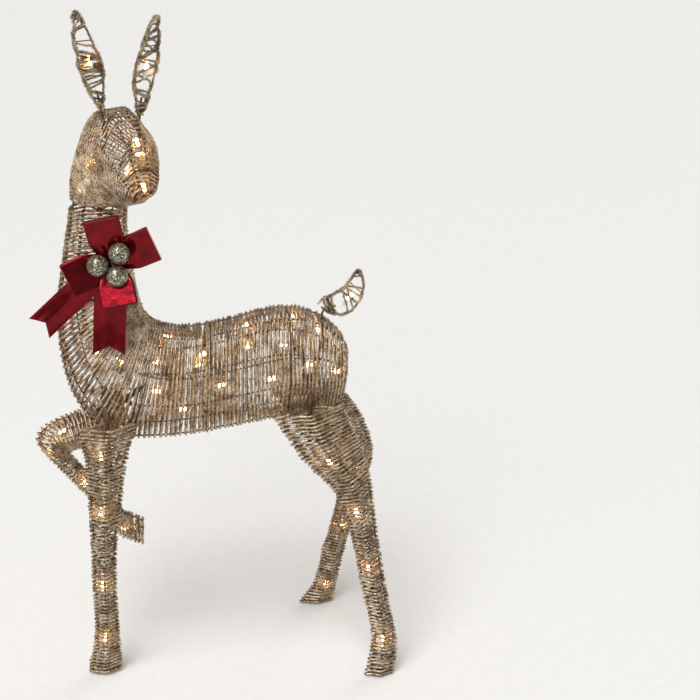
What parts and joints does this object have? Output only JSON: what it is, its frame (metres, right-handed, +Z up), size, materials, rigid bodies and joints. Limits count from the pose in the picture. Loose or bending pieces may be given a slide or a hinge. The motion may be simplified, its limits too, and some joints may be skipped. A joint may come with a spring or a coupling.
{
  "type": "light up yard reindeer",
  "caption": "Standing outdoor doe figure of wire hoops wound with pale tinsel cord and lit from inside, with one raised foreleg, leaf ears, a short tail and a red bow.",
  "frame": {"origin": "on the ground, under the middle of the bounding box", "axes": "+X from the chest to the rump (the doe's body faces -X), +Y from its left side to its right side, +Z up"},
  "size_m": [0.697, 0.311, 1.304],
  "materials": {
    "tinsel": "satin",
    "frame_wire": "satin",
    "tube_steel": "satin",
    "socket_plastic": "matte",
    "light_lead": "matte",
    "lamp_glass": "gloss",
    "tie_nylon": "matte",
    "red_foil": "gloss",
    "ball_glitter": "gloss",
    "bow_wire": "brushed"
  },
  "bodies": {
    "body": {"torso_frame": "frame_wire", "torso_wrap": "tinsel", "neck_frame": "frame_wire", "neck_wrap": "tinsel", "torso_light_string": "light_lead", "torso_bulb_sockets": "socket_plastic", "torso_bulbs": "lamp_glass", "neck_post": "frame_wire", "neck_ties": "tie_nylon", "power_inlet": "socket_plastic", "tail_sleeve": "tube_steel", "front_left_leg_tube": "tube_steel", "front_right_leg_tube": "tube_steel", "hind_left_leg_tube": "tube_steel", "hind_right_leg_tube": "tube_steel", "bow_level_loops": "red_foil", "bow_upright_loops": "red_foil", "bow_tails": "red_foil", "bow_balls": "ball_glitter", "bow_wire": "bow_wire"},
    "head": {"head_frame": "frame_wire", "head_wrap": "tinsel", "head_sleeve": "tube_steel", "head_light_string": "light_lead", "head_bulb_sockets": "socket_plastic", "head_bulbs": "lamp_glass", "ear_left_sleeve": "tube_steel", "ear_right_sleeve": "tube_steel"},
    "left_ear": {"ear_left_frame": "frame_wire", "ear_left_wrap": "tinsel", "ear_left_bulb_socket": "socket_plastic", "ear_left_bulb": "lamp_glass"},
    "right_ear": {"ear_right_frame": "frame_wire", "ear_right_wrap": "tinsel", "ear_right_bulb_socket": "socket_plastic", "ear_right_bulb": "lamp_glass"},
    "tail": {"tail_frame": "frame_wire", "tail_wrap": "tinsel", "tail_bulb_socket": "socket_plastic", "tail_bulb": "lamp_glass"},
    "front_left_leg": {"front_left_leg_frame": "frame_wire", "front_left_leg_wrap": "tinsel", "front_left_leg_light_string": "light_lead", "front_left_leg_bulb_sockets": "socket_plastic", "front_left_leg_bulbs": "lamp_glass"},
    "front_right_leg": {"front_right_leg_frame": "frame_wire", "front_right_leg_wrap": "tinsel", "front_right_leg_light_string": "light_lead", "front_right_leg_bulb_sockets": "socket_plastic", "front_right_leg_bulbs": "lamp_glass"},
    "hind_left_leg": {"hind_left_leg_frame": "frame_wire", "hind_left_leg_wrap": "tinsel", "hind_left_leg_light_string": "light_lead", "hind_left_leg_bulb_sockets": "socket_plastic", "hind_left_leg_bulbs": "lamp_glass"},
    "hind_right_leg": {"hind_right_leg_frame": "frame_wire", "hind_right_leg_wrap": "tinsel", "hind_right_leg_light_string": "light_lead", "hind_right_leg_bulb_sockets": "socket_plastic", "hind_right_leg_bulbs": "lamp_glass"}
  },
  "joints": [
    {"name": "head_turn", "type": "hinge", "parent": "body", "child": "head", "pos_m": [-0.186, -0.0015, 0.968], "axis": [0, 0, 1], "range_deg": [-35, 35]},
    {"name": "ear_left_turn", "type": "hinge", "parent": "head", "child": "left_ear", "pos_m": [-0.16629, -0.05355, 1.122], "axis": [-0.1135, -0.0824, 0.9901], "range_deg": [-40, 40]},
    {"name": "ear_right_turn", "type": "hinge", "parent": "head", "child": "right_ear", "pos_m": [-0.10642, -0.01006, 1.1015], "axis": [0.1459, 0.106, 0.9836], "range_deg": [-40, 40]},
    {"name": "tail_turn", "type": "hinge", "parent": "body", "child": "tail", "pos_m": [0.2155, -0.0015, 0.7], "axis": [0, 0, 1], "range_deg": [-40, 40]},
    {"name": "front_left_leg_slide", "type": "slide", "parent": "body", "child": "front_left_leg", "axis": [0, 0, -1], "range_m": [0, 0.05]},
    {"name": "front_right_leg_slide", "type": "slide", "parent": "body", "child": "front_right_leg", "axis": [-0.8, 0, -0.6], "range_m": [0, 0.05]},
    {"name": "hind_left_leg_slide", "type": "slide", "parent": "body", "child": "hind_left_leg", "axis": [0, 0, -1], "range_m": [0, 0.05]},
    {"name": "hind_right_leg_slide", "type": "slide", "parent": "body", "child": "hind_right_leg", "axis": [0, 0, -1], "range_m": [0, 0.05]}
  ]
}
